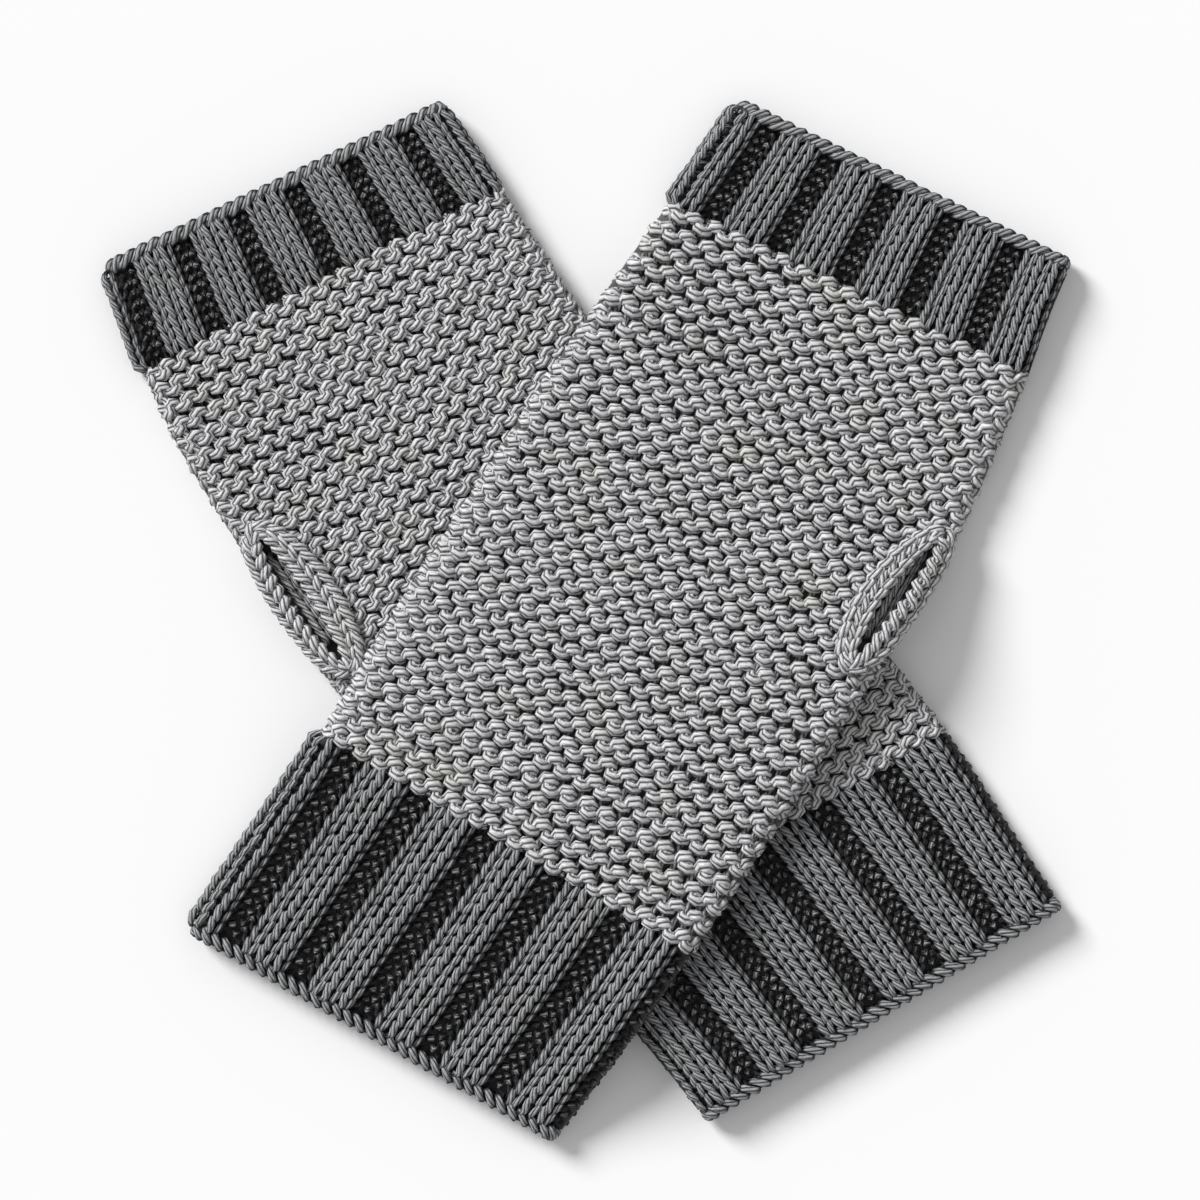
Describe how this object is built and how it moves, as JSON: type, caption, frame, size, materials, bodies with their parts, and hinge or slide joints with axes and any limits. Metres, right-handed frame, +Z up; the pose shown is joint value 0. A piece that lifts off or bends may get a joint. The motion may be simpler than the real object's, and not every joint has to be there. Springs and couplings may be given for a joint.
{
  "type": "pair of fingerless mitts",
  "caption": "Pair of ribbed, knitted fingerless mitts laid flat, one across the other, with thumb slits edged by a braided border.",
  "frame": {"origin": "middle of the pair as laid, on the surface it rests on", "axes": "+Z up from the surface, +Y towards the finger ends, +X to the right of a viewer who has the finger ends at the top"},
  "size_m": [0.1912, 0.2062, 0.0161],
  "materials": {
    "charcoal_yarn": "matte plied yarn",
    "light_grey_yarn": "matte plied yarn"
  },
  "bodies": {
    "root": {"lower_cast_on": "charcoal_yarn", "lower_wrist_rib": "charcoal_yarn", "lower_body": "light_grey_yarn", "lower_thumb_border": "light_grey_yarn", "lower_finger_rib": "charcoal_yarn", "lower_bind_off": "charcoal_yarn", "upper_cast_on": "charcoal_yarn", "upper_wrist_rib": "charcoal_yarn", "upper_body": "light_grey_yarn", "upper_thumb_border": "light_grey_yarn", "upper_finger_rib": "charcoal_yarn", "upper_bind_off": "charcoal_yarn"}
  },
  "joints": []
}
